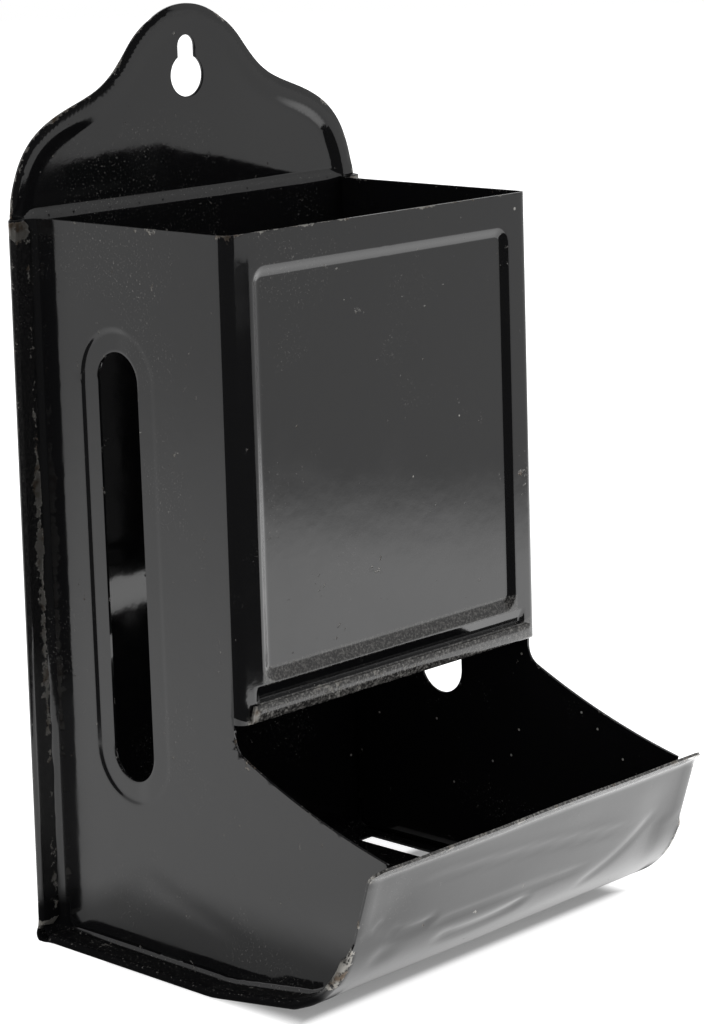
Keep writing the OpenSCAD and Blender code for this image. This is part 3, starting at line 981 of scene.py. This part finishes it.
                sheet.add(q, *hem_point(p, l))
    return sheet


# Wear: how far the enamel has gone, from 0 to 1, at a place in millimetres; on the housing two bare spots
# are partly real wear and partly painted highlights
def band(v, centre, width):
    return math.exp(-(((v - centre) / width) ** 2))


def strip_wear(p):
    x, y, z = p
    u = WALL - y
    worn = 0.0
    if abs(x) > 38.0 and z < TOP and u < 4.5:
        side = 1.0 if x < 0 else 0.6
        along = 0.42 + 0.4 * smooth((z - 35) / 15) * smooth((95 - z) / 20)
        worn = side * along * band(abs(x), 39.3, 0.9) * smooth((u - 1.2) / 0.8)
        top_end = smooth((z - 122.5) / 3) * smooth((abs(x) - 38.0) / 1.6) * smooth((u - 0.3) / 0.4)
        worn = max(worn, 0.8 * top_end)
        worn = max(worn, 0.22 * band(abs(x), HALF, 0.3))
    if abs(x) > 38.0 and u < 9 and z < 4:
        worn = max(worn, 0.75 * smooth((z - 1.4) / 1.2))
    if abs(x) > 38.5 and u >= 9 and z < 16:
        worn = max(worn, 0.22 * band(abs(x), 39.2, 0.7))
    if z >= TOP:
        d = float(distance([(x, z)], outline_long, closed=False)[0])
        worn = max(worn, 0.42 * band(d, 0.0, 0.45))
        worn = max(worn, 0.85 * band(d, 0.4, 1.0) * hollow((x, z), (-40.0, 138.5), 2.4, 4.5, 1.0))
    if z > 27.5 and u > 70:
        worn = max(worn, 0.32 * smooth((z - 28.0) / 1.0))
    if u > 70 and abs(x) > 40.0:
        low = (0.35 + 0.3 * smooth((19.0 - z) / 5.0)) * smooth((z - 7.5) / 1.5)
        worn = max(worn, low * smooth((abs(x) - 40.4) / 0.7))
    return worn


def housing_wear_and_highlights(p):
    x, y, z = p
    u = WALL - y
    worn = 0.0
    if z > MOUTH:
        worn = max(worn, 0.22 * band(z, TOP, 0.35))
        if u > 47:
            worn = max(worn, 0.45 * band(z, TOP, 0.35))
            worn = max(worn, 0.85 * band(z, TOP - 0.4, 0.9) * band(abs(x), 36.2, 1.0))
            # A bare spot below the front's top left corner, partly real wear and partly a painted highlight
            worn = max(worn, 0.7 * hollow((x, z), (-34.4, TOP - 2.6), 0.6, 1.0, 1.0))
    # The hem is a little worn all along and bare towards its left end; that bare end is partly real wear and
    # partly a painted highlight
    if u > 49.6 and MOUTH - 0.6 < z < 49.5:
        worn = max(worn, 0.2 + 0.65 * smooth((-32.8 - x) / 1.5))
    if abs(x) < 37.3 and u < 47:
        side = "left" if x < 0 else "right"
        worn = max(worn, 0.15 * band(slot_distance(side, u, z), SLOT_R, 0.4))
    if u > BEND_U and z < MOUTH + 0.5 and abs(x) > 36:
        worn = max(worn, 0.3 * band(z, cheek_height(u), 0.4))
    return worn


# Where dust clings, from 0 to 1, or dull grime, from 0 to -1
def strip_dusty(p):
    x, y, z = p
    u = WALL - y
    if abs(x) > 37.5 and z < 9 and 0.6 < u < 76:
        return -smooth((9 - z) / 3.0) * smooth((76 - u) / 4.0) * smooth((abs(x) - 37.5) / 0.8)
    if z > 27.5 and u > 70:
        return 0.9
    if abs(x) > 41.0 and z < 15.5 and u >= 60:
        return -0.95 * smooth((abs(x) - 41.0) / 0.5) * smooth((15.5 - z) / 1.5)
    if abs(x) > 38.5 and z < TOP and u < 64:
        return 0.06
    return 0.0


def housing_dusty(p):
    x, y, z = p
    u = WALL - y
    if abs(x) > 37.3 and z < 9 and u < 76:
        return -smooth((9 - z) / 3.0) * smooth((76 - u) / 4.0)
    if u > 49.6 and MOUTH - 0.6 < z < 49.5:
        return 0.8
    if u > 48.5 and 51.8 < z < 54.6 and abs(x) < PANEL_X:
        return 0.5
    return 0.0


# Materials
class Nodes:
    """Short ways to add nodes to a tree and join them."""

    def __init__(self, tree):
        self.tree = tree

    def add(self, kind, values=(), **settings):
        node = self.tree.nodes.new("ShaderNode" + kind)
        for name, value in settings.items():
            setattr(node, name, value)
        for name, value in dict(values).items():
            self.feed(node.inputs[name], value)
        return node

    def feed(self, socket, value):
        if isinstance(value, bpy.types.NodeSocket):
            self.tree.links.new(value, socket)
        else:
            socket.default_value = value

    def math(self, operation, a, b=0.0, clamp=False):
        node = self.add("Math", {0: a, 1: b}, operation=operation, use_clamp=clamp)
        return node.outputs[0]

    times = partialmethod(math, "MULTIPLY")
    plus = partialmethod(math, "ADD")
    most = partialmethod(math, "MAXIMUM")

    def range(self, value, low, high, to_low=0.0, to_high=1.0):
        """Eased change from to_low at low to to_high at high."""
        limits = {"Value": value, "From Min": low, "From Max": high, "To Min": to_low, "To Max": to_high}
        return self.add("MapRange", limits, interpolation_type="SMOOTHSTEP").outputs[0]

    def noise(self, place, scale, detail=3.0, rough=0.5):
        values = {"Vector": place, "Scale": scale, "Detail": detail, "Roughness": rough}
        return self.add("TexNoise", values).outputs[0]

    def parts(self, vector):
        return self.add("SeparateXYZ", {0: vector}).outputs

    def along(self, vector, way):
        """How far a vector goes in a direction."""
        return self.add("VectorMath", {0: vector, 1: way}, operation="DOT_PRODUCT").outputs["Value"]

    def blend(self, factor, a, b):
        node = self.add("Mix", data_type="RGBA")
        self.feed(node.inputs[0], factor)
        self.feed(node.inputs[6], a)
        self.feed(node.inputs[7], b)
        return node.outputs[2]


def new_material(name):
    material = bpy.data.materials.new(name)
    material.use_nodes = True
    return material, Nodes(material.node_tree), material.node_tree.nodes["Principled BSDF"]


BLACK = (0.0042, 0.0042, 0.0046, 1)
BARE = (0.30, 0.29, 0.27, 1)
RUST = (0.13, 0.10, 0.075, 1)
DUST = (0.55, 0.53, 0.5, 1)


def specks(n, place, cell, size, share):
    """Mask of round specks, one at most in each cell, in a share of the cells."""
    cells = n.add("TexVoronoi", {"Vector": place, "Scale": cell})
    dot = n.range(cells.outputs["Distance"], size, size * 0.55)
    pick = n.add("SeparateColor", {0: cells.outputs["Color"]})
    return n.times(dot, n.math("LESS_THAN", pick.outputs[0], share))


def enamel(name, seed, dust_share):
    """Glossy black enamel with a faint ripple, smears, dust, specks and worn edges."""
    material, n, shader = new_material(name)
    base = n.add("TexCoord").outputs["Object"]
    place = n.add("Mapping", {"Vector": base, "Location": (seed, seed * 0.37, seed * 0.71)}).outputs[0]

    # Worn metal shows where the wear of the edge and fine noise together pass a limit
    worn = n.add("Attribute", attribute_name="wear").outputs["Fac"]
    grain = n.plus(n.noise(place, 900, 4.0, 0.65), n.noise(place, 210, 3.0, 0.6))
    eaten = n.plus(worn, n.times(n.math("SUBTRACT", grain, 1.0), 1.5))
    bare = n.range(eaten, 0.42, 0.62)
    rusty = n.range(n.noise(place, 330, 3.0), 0.5, 0.66)
    metal = n.blend(rusty, BARE, RUST)

    # Dust lies on what faces up, and clings in patches elsewhere
    facing = n.parts(n.add("NewGeometry").outputs["Normal"])[2]
    upward = n.range(facing, 0.15, 0.75)
    patches = n.range(n.noise(place, 38, 4.0, 0.6), 0.52, 0.72, 0.0, dust_share)
    fine = n.range(n.noise(place, 2600, 2.0, 0.7), 0.6, 0.78)
    lying = n.times(fine, n.most(n.times(upward, 0.35), patches))
    clinging = n.add("Attribute", attribute_name="dusty").outputs["Fac"]
    coarse = n.range(n.noise(place, 2100, 3.0, 0.7), 0.42, 0.74)
    film = n.plus(n.times(coarse, 0.4), 0.04)
    lying = n.most(lying, n.times(clinging, film))
    grime = n.times(clinging, -1.0, clamp=True)
    small = specks(n, place, 330, 0.09, 0.05)
    large = specks(n, place, 75, 0.028, 0.16)
    dots = n.times(n.most(small, large), 0.6)
    dust = n.most(lying, dots, clamp=True)

    colour = n.blend(bare, BLACK, metal)
    n.feed(shader.inputs["Base Color"], n.blend(dust, colour, DUST))
    n.feed(shader.inputs["Metallic"], n.times(bare, n.math("SUBTRACT", 0.9, dust, clamp=True)))
    smears = n.range(n.noise(place, 55, 5.0, 0.6), 0.42, 0.74, 0.06, 0.15)
    duller = n.plus(n.times(bare, 0.3), n.times(grime, 0.3))
    rough = n.plus(smears, duller)
    n.feed(shader.inputs["Roughness"], n.plus(rough, n.times(dust, 0.7), clamp=True))
    shader.inputs["IOR"].default_value = 1.58
    n.feed(shader.inputs["Specular IOR Level"], n.math("SUBTRACT", 0.5, n.times(grime, 0.49)))

    # The enamel's slow ripple, its fine grain, and the step down to bare metal
    relief = (
        (n.noise(place, 160, 2.0), 0.5, 0.00006),
        (n.noise(place, 1300, 3.0, 0.6), 0.3, 0.00001),
        (n.math("SUBTRACT", 1.0, bare), 0.8, 0.00006),
    )
    normal = None
    for height, strength, deep in relief:
        bump = n.add("Bump", {"Height": height, "Strength": strength, "Distance": deep})
        if normal:
            n.feed(bump.inputs["Normal"], normal)
        normal = bump.outputs[0]
    n.feed(shader.inputs["Normal"], normal)
    return material


enamel_strip = enamel("enamel_strip", 0.0, 0.25)
enamel_housing = enamel("enamel_housing", 1.7, 0.3)

# The pieces
strip = build("strip_sheet", [(make_strip(), False)], enamel_strip, strip_dents, strip_wear, strip_dusty)
halves = [(make_housing("left"), False), (make_housing("right"), True)]
housing = build("housing_sheet", halves, enamel_housing, housing_dents, housing_wear_and_highlights, housing_dusty)
for piece, node, slot in ((strip, "back_and_scoop", "enamel_strip"), (housing, "housing", "enamel_housing")):
    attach(piece, "root")
    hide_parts(node)

# Floor: a white sheet that ends at FLOOR_NEAR metres on the camera's side, and elsewhere at FLOOR_FAR
FLOOR_NEAR, FLOOR_FAR = 0.178, 3.0
SHEET_FROM, SHEET_TO = math.radians(-57), math.radians(143)
# The way to the brightest part of the painted pool of light that gloss sees on the paper, and how bright
# that painted glow is, from close by to everywhere
POOL = Vector((0.743, -0.669, 0.0))
NEAR_GLOW, FRONT_GLOW, BEHIND_GLOW, EVEN_GLOW = 0.9, 1.35, 0.42, 0.14
# How bright the camera sees the paper's own glow: dimmed to painted shadow under the object, and evenly
# white in the open
UNDER_WHITE, OPEN_WHITE = 0.2, 0.88


def floor_material():
    """White paper whose glow is painted light: gloss sees a painted pool of light in front of the object,
    and painted shadow near it.
    """
    material, n, shader = new_material("ground")
    shader.inputs["Base Color"].default_value = (0.62, 0.62, 0.62, 1)
    shader.inputs["Roughness"].default_value = 0.9
    shader.inputs["Specular IOR Level"].default_value = 0.0
    shader.inputs["Emission Color"].default_value = (1, 1, 1, 1)
    rays = n.add("LightPath")
    place = n.add("NewGeometry").outputs["Position"]
    ahead = n.along(place, POOL)
    reach = n.add("VectorMath", {0: place}, operation="LENGTH").outputs["Value"]
    across = n.parts(n.add("VectorMath", {0: place}, operation="ABSOLUTE").outputs[0])
    # Painted shadow: gloss sees the paper dark under the object and close beside it, except in front
    beside = n.most(across[0], n.times(across[1], 1.2))
    in_front = n.range(n.parts(place)[1], -0.016, -0.034)
    out_of_painted_shadow = n.most(n.range(beside, 0.052, 0.07), in_front)
    # Painted pool of light, seen only in reflections: brightest close by and further out in front, dimmer
    # behind
    side = n.range(ahead, -0.08, 0.10)
    front = n.times(n.range(ahead, 0.41, 0.27), side)
    near = n.times(n.range(reach, 0.15, 0.05, 0.0, NEAR_GLOW), side)
    lit = n.plus(near, n.times(front, FRONT_GLOW))
    behind = n.range(reach, 0.7, 0.1, 0.0, BEHIND_GLOW)
    behind = n.times(n.range(ahead, 0.03, -0.04), behind)
    gloss_glow = n.times(n.plus(lit, n.plus(behind, EVEN_GLOW)), out_of_painted_shadow)
    seen_in_gloss = n.times(rays.outputs["Is Glossy Ray"], gloss_glow)
    # Painted shadow: the camera sees the paper dim under the object
    under = n.most(across[0], n.times(across[1], 1.8))
    open_floor = n.range(under, 0.038, 0.044, UNDER_WHITE, OPEN_WHITE)
    seen = n.times(rays.outputs["Is Camera Ray"], open_floor)
    n.feed(shader.inputs["Emission Strength"], n.plus(seen, seen_in_gloss))
    return material


def make_floor():
    mesh = bpy.data.meshes.new("ground")
    arcs = [(FLOOR_NEAR, t) for t in np.linspace(SHEET_TO - 2 * math.pi, SHEET_FROM, 24)]
    arcs += [(FLOOR_FAR, t) for t in np.linspace(SHEET_FROM, SHEET_TO, 32)]
    points = [(r * math.cos(t), r * math.sin(t), 0) for r, t in arcs]
    mesh.from_pydata(points, [], [tuple(range(len(points)))])
    mesh.materials.append(floor_material())
    ground = bpy.data.objects.new("ground", mesh)
    scene.collection.objects.link(ground)


make_floor()

# World: a white studio; gloss also sees the dark room behind the camera and the dark ceiling
ROOM = Vector((-0.7009, -0.7133, 0.0))
ROOM_LEVEL, STUDIO_LEVEL, HIGH_SHARE = 0.05, 0.72, 0.84


def make_world():
    world = bpy.data.worlds.new("studio")
    scene.world = world
    world.use_nodes = True
    n = Nodes(world.node_tree)
    background = world.node_tree.nodes["Background"]
    background.inputs["Color"].default_value = (1, 1, 1, 1)
    direction = n.add("TexCoord").outputs["Generated"]
    level = n.add("VectorMath", {0: direction, 1: (1, 1, 0)}, operation="MULTIPLY").outputs[0]
    level = n.add("VectorMath", {0: level}, operation="NORMALIZE").outputs[0]
    towards = n.along(level, ROOM)
    height = n.parts(direction)[2]
    open_side = n.range(towards, 0.15, 0.11)
    below_ceiling = n.range(height, 0.73, 0.62)
    gloss_glow = n.range(n.times(open_side, below_ceiling), 0.0, 1.0, ROOM_LEVEL, STUDIO_LEVEL)
    gloss_glow = n.times(gloss_glow, n.range(height, 0.1, -0.12, HIGH_SHARE, 1.0))
    gloss = n.add("LightPath").outputs["Is Glossy Ray"]
    other = n.math("SUBTRACT", 1.0, gloss)
    n.feed(background.inputs["Strength"], n.plus(n.times(gloss, gloss_glow), other))


make_world()

# Camera, solved from the straight edges in the photograph: focal length and axis in its pixels
WIDE, HIGH = 705, 1024
FOCAL, AXIS_X, AXIS_Y = 3077.55, 469.85, 230.7
cam_data = bpy.data.cameras.new("camera")
cam = bpy.data.objects.new("camera", cam_data)
scene.collection.objects.link(cam)
right = Vector((0.67325, -0.73901, -0.02444))
up = Vector((0.10924, 0.06672, 0.99177))
fwd = Vector((0.73130, 0.67038, -0.12565))
m = Matrix((right, up, -fwd)).transposed().to_4x4()
m.translation = Vector((-0.373545, -0.411804 + WALL * 0.001, 0.189943))
cam.matrix_world = m
cam_data.sensor_fit = "VERTICAL"
cam_data.sensor_height = 36
cam_data.lens = FOCAL * cam_data.sensor_height / HIGH
cam_data.shift_x = -(AXIS_X - WIDE / 2) / HIGH
cam_data.shift_y = (AXIS_Y - HIGH / 2) / HIGH
cam_data.clip_start = 0.01
scene.camera = cam

scene.view_settings.view_transform = "Standard"
